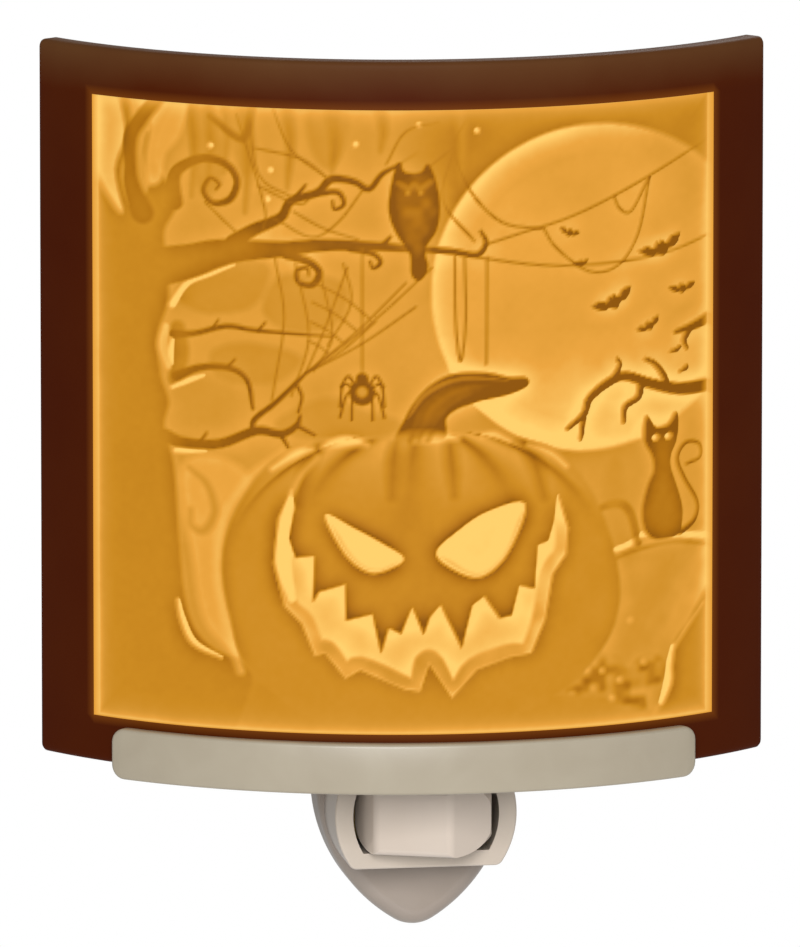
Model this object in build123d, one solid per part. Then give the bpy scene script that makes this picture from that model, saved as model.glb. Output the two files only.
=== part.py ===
from build123d import *
from math import asin, atan2, cos, degrees, radians, sin, sqrt
import os

# Plug-in night light: a curved porcelain picture panel stands in a moulded tray, and the tray
# turns on the socket of a small lamp that plugs straight into a wall outlet.
#
# Millimetres. +X is to the right of someone facing the panel, +Z is up, and the front looks
# along -Y. The origin is the middle of the plug's wall face. "ahead" is the distance of a
# thing in front of that face, so a thing at ahead = 10 lies at y = -10.

# ---------------------------------------------------------------- driving dimensions

# picture panel
panel_radius = 72.0         # of its front face
panel_width = 111.6         # straight across, edge to edge
panel_height = 111.0
panel_thickness = 3.6
panel_corner = 1.2          # rounding of its four corners
panel_edge = 0.9            # rounding of its front and back edges
picture_width = 95.0        # straight across
picture_bottom_border = 7.2
picture_top_border = 7.4
picture_recess = 0.6

# tray that the panel stands in
tray_width = 90.0           # straight across, tip to tip of the front lip
tray_turn = 8.0             # the tray's turn on the socket, towards -X
hub_step = 2.5              # the sleeve stands this far to the right of the tray's middle
panel_reach = 30.0          # socket axis to the panel's front face
tray_clearance = 0.3        # between the tray and the housing's top
tray_floor = 1.8
front_lip = 2.2
front_lip_height = 7.9
rear_lip = 1.8
rear_lip_height = 6.0
lip_corner = 2.2
panel_play = 0.35           # between the panel and each lip
arm_width = 17.0
arm_thickness = 2.4
web_thickness = 1.6
web_spacing = 13.0
web_height = 4.6
sleeve_wall = 1.9
sleeve_height = 8.0

# lamp housing
housing_back = 0.8          # ahead, of its back face
housing_parting = 6.0       # ahead, where the two shells meet
housing_wall = 1.6
housing_top = 12.4
shield_half_width = 15.2
shield_shoulder = 8.0       # height where the straight sides begin to curve in
shield_tip = -14.5
shield_tip_radius = 5.8
shield_face = 9.6           # ahead, of the flat face
shield_edge = 2.4
shield_top_corner = 2.4
collar_front = 20.0         # ahead, of the collar's rim
collar_middle = 5.0
collar_radius = 14.2
collar_bore = 11.4
collar_bottom = -3.3
collar_floor = 2.5
collar_corner = 1.4

# wall plug, NEMA 1-15P
blade_spacing = 12.7
blade_thickness = 1.5
blade_length = 16.5
line_blade_height = 6.35
neutral_blade_height = 7.9
blade_hole_radius = 1.5
blade_hole_reach = 11.8
disc_radius = 9.2
disc_step = 1.0             # from the disc out to the rim of its flange
disc_flange = 1.6
disc_end_play = 0.1
ring_thickness = 0.8
line_ring_radii = (2.6, 4.8)
neutral_ring_width = 1.9
ring_margin = 0.6           # from the neutral ring out to the flange's rim
turning_fit = 0.05          # radial clearance of every turning fit

# lamp socket, E12
socket_ahead = 11.5
socket_height = 19.5        # above the housing's top
barrel_wall = 0.95
screw_shell_radius = 6.0    # inside
screw_shell_wall = 0.3
screw_shell_height = 13.5
barrel_floor = 1.5
barrel_neck_radius = 5.5
lug_gap = 0.4               # from the lugs to the collar's bore
lug_width = 4.0
lug_thickness = 1.4

# bulb, C7
bulb_length = 54.0
bulb_radius = 10.2
bulb_glass = 0.7
bulb_neck_radius = 5.3
bulb_cap_height = 12.5

# rocker switch
rocker_turn = 22.0          # either side of straight ahead
rocker_side_gap = 0.65      # from the rocker to the collar's bore, each side
rocker_face_half_width = 6.0    # at most; less in a narrow bore
rocker_reach = 8.2          # pivot to the front face
rocker_tail = 2.8           # pivot to the back
rocker_tail_half_width = 4.4
rocker_corner = 4.0
rocker_edge = 0.9
rocker_gap = 0.45           # above and below it, in the collar
pivot_setback = 1.5         # from the collar's rim
pivot_radius = 1.0

# fasteners and strips
screw_radius = 1.0
screw_head_radius = 2.0
screw_head = 1.2
screw_clearance = 0.15
screw_angle = 22.0          # round the collar, up from level
screw_setback = 1.4         # from the collar's outside in to the screws
strip_thickness = 0.5
strip_width = 3.0
contact_gap = 0.15          # between a spring contact and what it bears on

# ---------------------------------------------------------------- values that follow

panel_bottom = housing_top + tray_clearance + tray_floor
panel_half_angle = degrees(asin(panel_width / 2 / panel_radius))
picture_half_angle = degrees(asin(picture_width / 2 / panel_radius))
tray_bottom = panel_bottom - tray_floor
lip_front_radius = panel_radius + panel_play + front_lip
lip_back_radius = panel_radius - panel_thickness - panel_play - rear_lip
tray_half_angle = degrees(asin(tray_width / 2 / lip_front_radius))
screw_shell_outer = screw_shell_radius + screw_shell_wall
barrel_radius = screw_shell_outer + barrel_wall
barrel_bottom = housing_top - housing_wall
barrel_top = housing_top + socket_height
riser_x = barrel_neck_radius - 0.9
contact_height = 6.6
socket_floor = housing_top + barrel_floor
screw_shell_low = socket_floor + strip_thickness
pivot_ahead = collar_front - pivot_setback
collar_bore_bottom = collar_bottom + collar_floor
collar_bore_top = housing_top - housing_wall
lug_reach = sqrt(collar_bore**2 - (collar_bore_top - collar_middle) ** 2) - lug_gap
rocker_half_width = collar_bore - rocker_side_gap
rocker_half_height = (collar_bore_top - collar_bore_bottom) / 2 - rocker_gap
bore_by_rocker_corner = sqrt(collar_bore**2 - rocker_half_height**2) - rocker_gap
rocker_face_room = (bore_by_rocker_corner - rocker_reach * sin(radians(rocker_turn))) \
    / cos(radians(rocker_turn))
rocker_face_edge = min(rocker_face_half_width, rocker_face_room)
disc_flange_radius = disc_radius + disc_step
neutral_ring_outer = disc_flange_radius - ring_margin
neutral_ring_radii = (neutral_ring_outer - neutral_ring_width, neutral_ring_outer)
flange_ahead = housing_back + housing_wall + disc_end_play
rings_ahead = flange_ahead + disc_flange
wiper_ahead = rings_ahead + ring_thickness + contact_gap

tray_place = Pos(0, -socket_ahead, 0) * Rot(0, 0, -tray_turn)
rocker_place = Pos(0, -pivot_ahead, 0) * Rot(0, 0, -rocker_turn)
socket_place = Pos(0, -socket_ahead, 0)


# ---------------------------------------------------------------- shared shapes

def forward(profile, start, end):
    """A front-view profile (x, z) made solid between two distances ahead of the wall."""
    return extrude(Plane.XZ.offset(start) * profile, end - start)


def upward(profile, low, high):
    """A plan-view profile (x, y) made solid between two heights."""
    return extrude(Pos(0, 0, low) * profile, high - low)


def block(x, y, z):
    """A box between the two ends given along each axis."""
    size = [b - a for a, b in (x, y, z)]
    return Pos(*[(a + b) / 2 for a, b in (x, y, z)]) * Box(*size)


def tube(outer, inner, low, high):
    """A round tube about the upright axis."""
    return upward(Circle(outer) - Circle(inner), low, high)


def on_circle(radius, angle):
    """A point of a circle, the angle counted from straight ahead (-Y) towards +X."""
    return (radius * sin(radians(angle)), -radius * cos(radians(angle)))


def curved_strip(outer, inner, half_angle, low, high):
    """A strip bent about an upright axis at the origin, its middle facing -Y."""
    ends = [on_circle(r, a) for r, a in ((outer, -half_angle), (outer, half_angle),
                                         (inner, half_angle), (inner, -half_angle))]
    outline = [
        ThreePointArc(ends[0], (0, -outer), ends[1]),
        Line(ends[1], ends[2]),
        ThreePointArc(ends[2], (0, -inner), ends[3]),
        Line(ends[3], ends[0]),
    ]
    return upward(make_face(outline), low, high)


def bend_place(solid):
    """From the panel's own bend axis to the tray's frame, where the sleeve is the origin."""
    return Pos(-hub_step, panel_radius - panel_reach, 0) * solid


def shield_profile(inset=0.0):
    """The housing's outline from the front, with its edge moved in by the inset."""
    run = shield_shoulder - shield_tip - shield_tip_radius
    side_radius = (shield_half_width**2 + run**2 - shield_tip_radius**2) / (
        2 * (shield_half_width - shield_tip_radius))
    side_x = shield_half_width - side_radius
    slope = atan2(-run, -side_x)

    def side_point(angle):
        reach = side_radius - inset
        return (side_x + reach * cos(angle), shield_shoulder + reach * sin(angle))

    top = housing_top - inset
    shoulder, middle, low = side_point(0), side_point(slope / 2), side_point(slope)
    outline = [
        Line((-shoulder[0], top), (shoulder[0], top)),
        Line((shoulder[0], top), shoulder),
        ThreePointArc(shoulder, middle, low),
        ThreePointArc(low, (0, shield_tip + inset), (-low[0], low[1])),
        ThreePointArc((-low[0], low[1]), (-middle[0], middle[1]), (-shoulder[0], shoulder[1])),
        Line((-shoulder[0], shoulder[1]), (-shoulder[0], top)),
    ]
    face = make_face(outline)
    return fillet(face.vertices().sort_by(Axis.Y)[-2:], shield_top_corner - inset)


def collar_profile(radius, bottom, top):
    """A circle about the collar's middle with its bottom and top cut flat."""
    disc = Pos(0, collar_middle) * Circle(radius)
    return disc & Pos(0, (bottom + top) / 2) * Rectangle(2 * radius, top - bottom)


def screw_places():
    """Where the housing screws stand: in the collar's wall, near the two top corners."""
    middle = collar_radius - screw_setback
    x, z = middle * cos(radians(screw_angle)), collar_middle + middle * sin(radians(screw_angle))
    return [(x, z), (-x, z)]


# ---------------------------------------------------------------- panel and tray

def lithophane_panel():
    """Porcelain tile bent to part of a cylinder, its picture field a little below the border."""
    low, high = panel_bottom, panel_bottom + panel_height
    tile = curved_strip(panel_radius, panel_radius - panel_thickness, panel_half_angle, low, high)
    ends = tile.edges().filter_by(lambda e: abs(e.length - panel_thickness) < 0.01)
    tile = fillet(ends, panel_corner)
    rims = tile.edges().group_by(Axis.Z)
    tile = fillet(rims[0] + rims[-1], panel_edge)
    field = curved_strip(panel_radius + 1, panel_radius - picture_recess, picture_half_angle,
                         low + picture_bottom_border, high - picture_top_border)
    return tray_place * bend_place(tile - field)


def panel_tray():
    """Channel that the panel's foot stands in."""
    front = curved_strip(lip_front_radius, lip_front_radius - front_lip, tray_half_angle,
                         tray_bottom, tray_bottom + front_lip_height)
    tips = front.edges().filter_by(lambda e: abs(e.length - front_lip) < 0.01)
    front = fillet(tips, lip_corner)
    inner_half_angle = tray_half_angle - degrees(lip_corner / lip_front_radius)
    floor = curved_strip(lip_front_radius - front_lip / 2, lip_back_radius, inner_half_angle,
                         tray_bottom, panel_bottom)
    back = curved_strip(lip_back_radius + rear_lip, lip_back_radius, inner_half_angle,
                        tray_bottom, tray_bottom + rear_lip_height)
    return tray_place * bend_place(front + floor + back)


def tray_arm():
    """Arm from the middle of the channel back to the sleeve that turns on the socket."""
    sleeve_outer = barrel_radius + turning_fit + sleeve_wall
    sleeve = upward(Circle(sleeve_outer), tray_bottom, tray_bottom + sleeve_height)
    channel_y = panel_radius - panel_reach - lip_back_radius - rear_lip / 2
    arm = sleeve + block((-arm_width / 2, arm_width / 2), (channel_y, 0),
                         (tray_bottom, tray_bottom + arm_thickness))
    for x in (-web_spacing / 2, web_spacing / 2):
        arm = arm + block((x - web_thickness / 2, x + web_thickness / 2),
                          (channel_y, -barrel_radius), (tray_bottom, tray_bottom + web_height))
    channel = bend_place(upward(Circle(lip_front_radius) - Circle(lip_back_radius),
                                tray_bottom - 1, tray_bottom + web_height + 1))
    bore = upward(Circle(barrel_radius + turning_fit), tray_bottom - 1, barrel_top)
    return tray_place * (arm - bore - channel)


# ---------------------------------------------------------------- housing

def screw_bores(radius, start, end):
    """Round bores along the housing screws."""
    places = screw_places()
    bores = [forward(Pos(x, z) * Circle(radius), start, end) for x, z in places]
    return bores[0] + bores[1]


def barrel_opening():
    """The round hole in the housing's top that the socket's neck stands through."""
    return socket_place * upward(Circle(barrel_neck_radius + turning_fit), barrel_bottom - 1,
                                 housing_top + 1)


def pivot_bore(radius):
    """Bore for the rocker's pin, blind at both ends."""
    pin = upward(Circle(radius), collar_bore_bottom - 1.6, collar_bore_top + 1.0)
    return Pos(0, -pivot_ahead, 0) * pin


def front_shell():
    """Shield-shaped shell with the collar that frames the switch, in one moulding."""
    shield = forward(shield_profile(), housing_parting, shield_face)
    shield = fillet(shield.edges().group_by(Axis.Y)[0], shield_edge)
    collar_face = collar_profile(collar_radius, collar_bottom, housing_top)
    collar_face = fillet(collar_face.vertices(), collar_corner)
    collar = forward(collar_face, housing_parting, collar_front)
    collar = fillet(collar.edges().group_by(Axis.Y)[0], 0.4)
    inside = forward(shield_profile(housing_wall), housing_parting, shield_face - housing_wall)
    bore = forward(collar_profile(collar_bore, collar_bore_bottom, collar_bore_top),
                   housing_parting, collar_front)
    shell = shield + collar - inside - bore - barrel_opening() - pivot_bore(pivot_radius)
    return shell - screw_bores(screw_radius, housing_parting, shield_face - 1.0)


def rear_shell():
    """Back half of the housing, holding the turning plug disc and the screw heads."""
    shell = forward(shield_profile(), housing_back, housing_parting)
    shell = fillet(shell.edges().group_by(Axis.Y)[-1], 1.0)
    inside = forward(shield_profile(housing_wall), housing_back + housing_wall, housing_parting)
    hole = forward(Circle(disc_radius + turning_fit), 0, housing_parting)
    bosses = screw_bores(screw_radius + 1.3, housing_back + 0.2, housing_parting)
    shell = shell - inside + (bosses & forward(shield_profile(0.5), housing_back, housing_parting))
    shell = shell - hole - barrel_opening()
    shell = shell - screw_bores(screw_radius + screw_clearance, 0, housing_parting)
    return shell - screw_bores(screw_head_radius + screw_clearance, 0,
                               housing_back + screw_head + 0.1)


def housing_screws():
    """Two self-tapping screws, put in from the back."""
    head_back = housing_back + 0.1
    head_front = head_back + screw_head
    driver = Rectangle(2.2, 0.5) + Rectangle(0.5, 2.2)
    screws = []
    for x, z in screw_places():
        head = forward(Pos(x, z) * Circle(screw_head_radius), head_back, head_front)
        shank = forward(Pos(x, z) * Circle(screw_radius), head_front, shield_face - 1.3)
        slot = forward(Pos(x, z) * driver, head_back - 0.1, head_back + 0.6)
        screws.append(head + shank - slot)
    return Compound(children=screws)


# ---------------------------------------------------------------- plug

def blade(height, side):
    """One flat brass blade with its locking hole and the foot that meets its slip ring."""
    x = side * blade_spacing / 2
    half = blade_thickness / 2
    plate = block((x - half, x + half), (-rings_ahead, blade_length), (-height / 2, height / 2))
    tips = plate.edges().group_by(Axis.Y)[-1]
    plate = chamfer(tips, 0.45)
    hole = Pos(x, blade_hole_reach, 0) * Rot(0, 90, 0) * Cylinder(blade_hole_radius, 4)
    inner, outer = line_ring_radii if side > 0 else neutral_ring_radii
    far = side * (inner + 0.4 if side > 0 else outer - 0.4)
    foot = block(sorted((x, far)), (-rings_ahead, -rings_ahead + 0.7), (-1.6, 1.6))
    return plate + foot - hole


def plug_disc():
    """Turning disc that carries the blades; its flange keeps it in the rear shell."""
    neck = forward(Circle(disc_radius), 0, flange_ahead)
    neck = fillet(neck.edges().group_by(Axis.Y)[-1], 0.5)
    flange = forward(Circle(disc_flange_radius), flange_ahead, rings_ahead)
    return neck + flange - blade(line_blade_height, 1) - blade(neutral_blade_height, -1)


def slip_ring(radii):
    """Flat brass ring on the disc, joined to one blade's foot."""
    inner, outer = radii
    return forward(Circle(outer) - Circle(inner), rings_ahead, rings_ahead + ring_thickness)


# ---------------------------------------------------------------- socket and its contacts

def socket_barrel():
    """Moulded socket body, keyed under the housing's top by two lugs."""
    body = upward(Circle(barrel_radius), housing_top, barrel_top)
    body = fillet(body.edges().group_by(Axis.Z)[-1], 0.4)
    body = body + upward(Circle(barrel_neck_radius), barrel_bottom, housing_top)
    bore = upward(Circle(screw_shell_outer), socket_floor, barrel_top)
    lug = Rectangle(2 * lug_reach, lug_width) & Circle(lug_reach)
    lugs = upward(lug, barrel_bottom - lug_thickness, barrel_bottom)
    half = strip_width / 2 + 0.1
    slot = block((-half, half), (-0.3, 0.3), (barrel_bottom - 3, socket_floor))
    side = block((-riser_x - 0.05, -riser_x + strip_thickness + 0.05), (-half, half),
                 (barrel_bottom - 3, socket_floor))
    return socket_place * (body + lugs - bore - slot - side)


def socket_screw_shell():
    """Threaded brass shell, its thread drawn as shallow rings."""
    low, high = screw_shell_low, screw_shell_low + screw_shell_height
    shell = tube(screw_shell_outer, screw_shell_radius, low, high)
    groove = Circle(0.35)
    pitch = 2.54
    turns = int(screw_shell_height / pitch)
    for turn in range(turns):
        height = low + pitch * (turn + 0.6)
        ring = revolve(Plane.XZ * Pos(screw_shell_outer + 0.17, height) * groove, Axis.Z)
        shell = shell - ring
    return socket_place * shell


def centre_contact():
    """Spring tongue under the bulb's tip, with a leg through the floor to the switch."""
    half = strip_width / 2
    tongue = block((-2.4, 2.4), (-half, half), (socket_floor, socket_floor + strip_thickness))
    leg = block((-half, half), (-0.25, 0.25), (contact_height, socket_floor))
    arm = block((-half, half), (-1.9, 0.25), (contact_height, contact_height + strip_thickness))
    pad = block((-half, half), (-1.9, -1.4), (contact_height - 2.4, contact_height))
    return socket_place * (tongue + leg + arm + pad)


def neutral_strip():
    """Brass strip from the outer slip ring's wiper, up through the floor to the screw shell."""
    x = (neutral_ring_radii[0] + neutral_ring_radii[1]) / 2
    half = strip_width / 2
    shelf = barrel_bottom - lug_thickness - 1.3
    edge = sqrt(collar_bore**2 - (shelf + strip_thickness - collar_middle) ** 2) - lug_gap
    wiper = block((-x - 0.7, -x + 0.7), (-wiper_ahead - strip_thickness, -wiper_ahead),
                  (-1.5, shelf + strip_thickness))
    reach = block((-min(x + 0.7, edge), -riser_x + strip_thickness),
                  (-socket_ahead - half, -wiper_ahead), (shelf, shelf + strip_thickness))
    riser = block((-riser_x, -riser_x + strip_thickness),
                  (-socket_ahead - half, -socket_ahead + half), (shelf, screw_shell_low))
    lip = block((-screw_shell_radius + 0.3, -riser_x), (-socket_ahead - 1, -socket_ahead + 1),
                (socket_floor, screw_shell_low))
    return wiper + reach + riser + lip


def line_strip():
    """Brass strip from the inner slip ring's wiper forward to the switch."""
    x = line_ring_radii[0] + 0.3
    pad_ahead = socket_ahead + 1.9
    wiper = block((x, x + 1.6), (-wiper_ahead - strip_thickness, -wiper_ahead), (-1.5, 3.0))
    reach = block((x, x + 1.6), (-pad_ahead, -wiper_ahead), (3.0, 3.0 + strip_thickness))
    pad = block((x, x + 1.6), (-pad_ahead, -pad_ahead + strip_thickness), (3.0, 6.4))
    return wiper + reach + pad


# ---------------------------------------------------------------- switch

def rocker_plan():
    """Plan of the rocker about its pivot: flat face, slanting grips, narrow tail."""
    half, face, tail = rocker_half_width, rocker_face_edge, rocker_tail_half_width
    points = [(-face, -rocker_reach), (face, -rocker_reach), (half, -1.2),
              (half - 0.4, 1.0), (tail, rocker_tail), (-tail, rocker_tail),
              (-half + 0.4, 1.0), (-half, -1.2)]
    return make_face(Polyline(points, close=True))


def rocker_switch():
    """Wide rocker in the collar, tipped left or right about an upright pin."""
    low, high = collar_bore_bottom + rocker_gap, collar_bore_top - rocker_gap
    body = upward(rocker_plan(), low, high)
    faces = body.edges().filter_by(Axis.Z).sort_by(Axis.Y)[:2]
    body = fillet(faces, 1.6)
    outline = Pos(0, (low + high) / 2) * RectangleRounded(2 * rocker_half_width, high - low,
                                                          rocker_corner)
    body = body & extrude(Plane.XZ.offset(-9) * outline, 30)
    side = Pos(0, (low + high) / 2) * Rectangle(2 * rocker_reach, high - low)
    side = fillet(side.vertices().sort_by(Axis.X)[:2], rocker_edge)
    body = body & extrude(Plane.YZ * side, rocker_half_width, both=True)
    bore = upward(Circle(pivot_radius + turning_fit), low - 1, high + 1)
    seat = block((-1.6, 1.6), (rocker_tail - 0.5, rocker_tail + 1), (2.0, 7.0))
    return rocker_place * (body - bore - seat)


def rocker_contact():
    """Brass bridge on the rocker's tail that closes the switch."""
    bar = block((-1.55, 1.55), (rocker_tail - 0.5, rocker_tail + 0.2), (2.05, 6.95))
    return rocker_place * bar


def rocker_pin():
    """Steel pin that the rocker turns on, pressed into the collar at both ends."""
    return Pos(0, -pivot_ahead, 0) * upward(Circle(pivot_radius), collar_bore_bottom - 1.5,
                                            collar_bore_top + 0.9)


# ---------------------------------------------------------------- bulb

bulb_tip = socket_floor + strip_thickness + contact_gap
bulb_cap_low = bulb_tip + 2.2
bulb_cap_high = bulb_cap_low + bulb_cap_height
bulb_cap_radius = screw_shell_radius - turning_fit


def bulb_outline(inset):
    """Side line of the glass from the neck up to its tip, moved in by the inset."""
    neck = bulb_neck_radius - inset
    low, top = bulb_cap_high - 2.0, bulb_tip + bulb_length - inset
    span = top - bulb_cap_high
    return low, top, [
        (neck, bulb_cap_high + 0.06 * span),
        (bulb_radius * 0.86 - inset, bulb_cap_high + 0.30 * span),
        (bulb_radius - inset, bulb_cap_high + 0.50 * span),
        (bulb_radius * 0.72 - inset, bulb_cap_high + 0.81 * span),
        (0, top),
    ]


def glass_solid(inset):
    """The filled shape of the bulb's glass."""
    low, top, points = bulb_outline(inset)
    side = Spline(points, tangents=((0, 1), (-1, -0.15)))
    lines = [Line((0, low), (points[0][0], low)), Line((points[0][0], low), points[0]),
             side, Line((0, top), (0, low))]
    return revolve(Plane.XZ * make_face(lines), Axis.Z)


def bulb_envelope():
    """Blown glass envelope, open where its neck is cemented into the cap."""
    return socket_place * (glass_solid(0) - glass_solid(bulb_glass))


def bulb_cap():
    """Threaded brass cap, crimped shallow rings for its thread."""
    neck = bulb_neck_radius + 0.05
    cap = tube(bulb_cap_radius, neck, bulb_cap_low, bulb_cap_high)
    cap = cap + upward(Circle(neck + 0.01), bulb_cap_low, bulb_cap_low + 0.5)
    for turn in range(4):
        height = bulb_cap_low + 2.0 + 2.54 * turn
        ring = revolve(Plane.XZ * Pos(bulb_cap_radius + 0.1, height) * Circle(0.45), Axis.Z)
        cap = cap - ring
    return socket_place * cap


def bulb_insulator():
    """Black glass cone between the cap and the tip contact."""
    cone = loft([Pos(0, 0, bulb_tip + 0.7) * Circle(2.6), Pos(0, 0, bulb_cap_low) * Circle(5.0)])
    return socket_place * cone


def bulb_tip_contact():
    """Solder button at the bulb's foot."""
    button = upward(Circle(2.0), bulb_tip, bulb_tip + 0.7)
    return socket_place * fillet(button.edges().group_by(Axis.Z)[0], 0.3)


stem_low = bulb_cap_high - 1.5
stem_high = stem_low + 13.0
filament_height = stem_high + 9.0


def bulb_stem():
    """Glass stem that holds the lead wires inside the envelope."""
    foot = upward(Circle(bulb_neck_radius - bulb_glass - 0.2), stem_low, stem_low + 1.2)
    cone = loft([Pos(0, 0, stem_low + 1.2) * Circle(3.2), Pos(0, 0, stem_low + 5) * Circle(1.8)])
    rod = upward(Circle(1.8), stem_low + 5, stem_high)
    return socket_place * (foot + cone + rod)


def lead_wires():
    """Two stiff wires from the stem up to the filament's ends."""
    wires = []
    for side in (-1, 1):
        path = Polyline((side * 1.0, 0, stem_high), (side * 1.2, 0, stem_high + 1.5),
                        (side * 3.6, 0, filament_height))
        profile = Plane(origin=(side * 1.0, 0, stem_high), z_dir=path % 0) * Circle(0.25)
        wires.append(sweep(profile, path, transition=Transition.ROUND))
    return socket_place * Compound(children=wires)


def filament():
    """Coiled tungsten drawn as a thin arched wire between the lead wires."""
    top = filament_height + 3.0
    path = ThreePointArc((-3.35, 0, filament_height), (0, 0, top), (3.35, 0, filament_height))
    profile = Plane(origin=path @ 0, z_dir=path % 0) * Circle(0.2)
    return socket_place * sweep(profile, path)


# ---------------------------------------------------------------- write the pieces

pieces = {
    "lithophane_panel": lithophane_panel(),
    "panel_tray": panel_tray(),
    "tray_arm": tray_arm(),
    "front_shell": front_shell(),
    "rear_shell": rear_shell(),
    "housing_screws": housing_screws(),
    "plug_disc": plug_disc(),
    "line_blade": blade(line_blade_height, 1),
    "neutral_blade": blade(neutral_blade_height, -1),
    "line_slip_ring": slip_ring(line_ring_radii),
    "neutral_slip_ring": slip_ring(neutral_ring_radii),
    "socket_barrel": socket_barrel(),
    "socket_screw_shell": socket_screw_shell(),
    "centre_contact": centre_contact(),
    "neutral_strip": neutral_strip(),
    "line_strip": line_strip(),
    "rocker_switch": rocker_switch(),
    "rocker_contact": rocker_contact(),
    "rocker_pin": rocker_pin(),
    "bulb_envelope": bulb_envelope(),
    "bulb_cap": bulb_cap(),
    "bulb_insulator": bulb_insulator(),
    "bulb_tip_contact": bulb_tip_contact(),
    "bulb_stem": bulb_stem(),
    "bulb_lead_wires": lead_wires(),
    "bulb_filament": filament(),
}

os.makedirs("parts", exist_ok=True)
for name, solid in pieces.items():
    export_step(solid, f"parts/{name}.step")
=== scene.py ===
import math

import bmesh
import bpy
import numpy as np
from mathutils import Matrix, Vector


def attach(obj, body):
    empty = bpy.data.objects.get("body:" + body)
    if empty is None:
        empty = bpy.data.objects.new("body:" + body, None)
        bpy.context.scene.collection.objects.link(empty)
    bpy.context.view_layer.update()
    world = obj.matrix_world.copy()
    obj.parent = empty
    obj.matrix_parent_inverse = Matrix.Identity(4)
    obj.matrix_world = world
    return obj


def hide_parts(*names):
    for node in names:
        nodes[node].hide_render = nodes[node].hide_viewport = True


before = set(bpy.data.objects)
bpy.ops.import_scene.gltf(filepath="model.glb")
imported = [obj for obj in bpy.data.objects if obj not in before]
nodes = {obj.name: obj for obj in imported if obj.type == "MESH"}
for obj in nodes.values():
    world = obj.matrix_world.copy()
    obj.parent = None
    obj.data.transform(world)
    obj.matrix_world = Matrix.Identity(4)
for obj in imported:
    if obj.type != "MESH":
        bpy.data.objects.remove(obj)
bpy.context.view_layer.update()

# ------------------------------------------------------------------ the room
# A pale sweep under and behind the lamp, lit by large soft boxes. The lamp hangs in
# front of it as it would from an outlet, so the floor lies well below.
floor_drop = 0.42
floor_mesh = bmesh.new()
bmesh.ops.create_grid(floor_mesh, x_segments=1, y_segments=1, size=1.4,
                      matrix=Matrix.Translation((0, 0, -floor_drop)))
floor_data = bpy.data.meshes.new("floor")
floor_mesh.to_mesh(floor_data)
floor_mesh.free()
floor = bpy.data.objects.new("floor", floor_data)
bpy.context.collection.objects.link(floor)

paper = bpy.data.materials.new("pale_paper")
paper.use_nodes = True
paper_shader = paper.node_tree.nodes["Principled BSDF"]
paper_shader.inputs["Base Color"].default_value = (0.93, 0.93, 0.93, 1)
paper_shader.inputs["Roughness"].default_value = 0.9
floor_data.materials.append(paper)

world = bpy.data.worlds.new("studio")
world.use_nodes = True
backdrop = world.node_tree.nodes["Background"]
seen = world.node_tree.nodes.new("ShaderNodeLightPath")
level = world.node_tree.nodes.new("ShaderNodeMapRange")
level.inputs["To Min"].default_value = 0.38
level.inputs["To Max"].default_value = 1.0
world.node_tree.links.new(seen.outputs["Is Camera Ray"], level.inputs["Value"])
world.node_tree.links.new(level.outputs["Result"], backdrop.inputs["Strength"])
backdrop.inputs["Color"].default_value = (1, 1, 1, 1)
bpy.context.scene.world = world
bpy.context.scene.view_settings.view_transform = "Standard"


def softbox(name, place, aim, width, power, colour=(1, 1, 1)):
    """A square area light at a place, turned to face a point."""
    light = bpy.data.lights.new(name, "AREA")
    light.size = width
    light.energy = power
    light.color = colour
    lamp = bpy.data.objects.new(name, light)
    lamp.location = place
    lamp.rotation_euler = (Vector(aim) - Vector(place)).to_track_quat("-Z", "Y").to_euler()
    bpy.context.collection.objects.link(lamp)


softbox("softbox_front", (-0.30, -1.5, 0.55), (0, 0, 0.06), 0.6, 30.0)
softbox("softbox_right", (1.1, -0.9, 0.3), (0, 0, 0.06), 0.5, 2.0)
softbox("softbox_behind", (0.5, 1.1, 0.9), (0, 0, 0.06), 0.6, 9.0)

# The camera stands a long way off, a little to the left and above, with a long lens.
aim = Vector((-0.00576, -0.030, 0.0603))
camera_distance = 2.6
towards_camera = Vector((-0.1611, -0.9718, 0.1721)).normalized()
camera_data = bpy.data.cameras.new("camera")
camera_data.lens = 646.3
camera_data.sensor_width = 36.0
camera_data.clip_end = 20.0
camera = bpy.data.objects.new("camera", camera_data)
camera.location = aim + camera_distance * towards_camera
camera.rotation_euler = (aim - camera.location).to_track_quat("-Z", "Y").to_euler()
bpy.context.collection.objects.link(camera)
bpy.context.scene.camera = camera

# ------------------------------------------------------------------ the porcelain tile
# Unglazed white porcelain pressed in a mould, 3.6 mm thick and bent about an upright axis.
# Its border is stained dark brown, and its picture field is thin, so that the bulb behind
# shows through it: the thinner the porcelain, the brighter it glows.
mm = 0.001
tile_radius = 72.0
tile_chord = 111.6
tile_height = 111.0
tile_thickness = 3.6
tile_low = 14.5
field_chord = 95.0
field_low = 7.2
field_high = tile_height - 7.4
field_recess = 0.6
bend_axis = (-2.5, 42.0)
tray_turn = math.radians(-8.0)
socket_y = -11.5
field_angle = math.asin(field_chord / 2 / tile_radius)
tile_angle = math.asin(tile_chord / 2 / tile_radius)


def bend_to_tray(mesh, depth_of):
    """Bends a flat mesh (arc length, depth, height) in mm round the tray's axis, in metres."""
    turn = Matrix.Translation((0, socket_y, 0)) @ Matrix.Rotation(tray_turn, 4, "Z")
    for v in mesh.verts:
        angle, radius = v.co.x / tile_radius, tile_radius - depth_of(v)
        bent = Vector((bend_axis[0] + radius * math.sin(angle),
                       bend_axis[1] - radius * math.cos(angle), v.co.z + tile_low))
        v.co = (turn @ bent) * mm


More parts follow.
